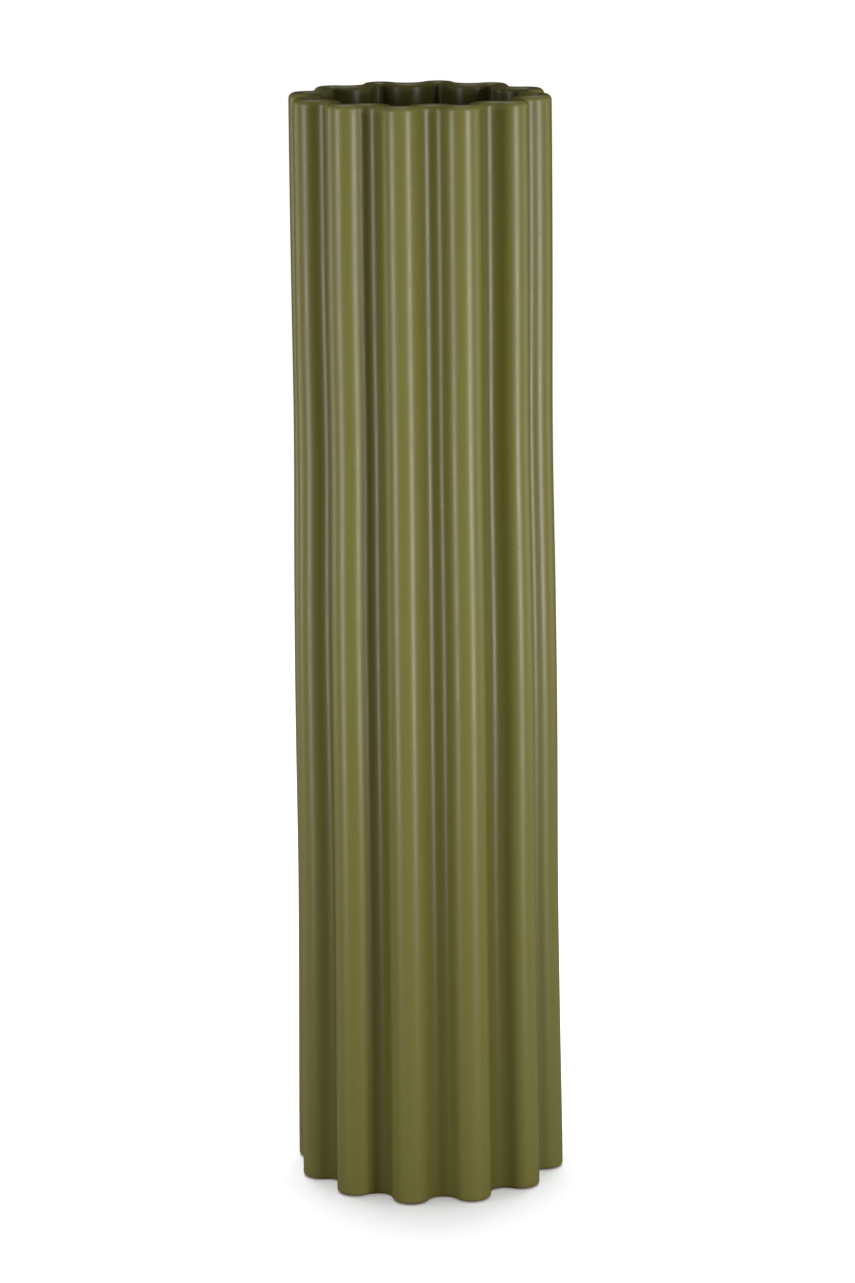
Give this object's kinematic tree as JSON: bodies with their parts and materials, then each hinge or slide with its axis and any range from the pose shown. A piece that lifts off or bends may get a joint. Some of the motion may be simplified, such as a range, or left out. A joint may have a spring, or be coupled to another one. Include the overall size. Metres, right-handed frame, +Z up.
{
  "type": "vase",
  "caption": "Tall straight fluted stoneware vase with rounded lobes and grooves, a scalloped rounded lip, an open mouth and an olive satin glaze.",
  "frame": {"origin": "on the table, under the centre of the foot", "axes": "+Z up along the vase's axis, +X through the middle of a lobe"},
  "size_m": [0.1128, 0.1128, 0.45],
  "materials": {
    "stoneware": "bare fired stoneware, matte",
    "slip": "bare fired slip, matte",
    "outside_glaze": "olive green satin glaze",
    "inside_glaze": "olive green satin glaze"
  },
  "bodies": {
    "root": {"fluted_wall": "stoneware", "floor_slab": "stoneware", "slip_seam": "slip", "outside_glaze": "outside_glaze", "inside_glaze": "inside_glaze"}
  },
  "joints": []
}
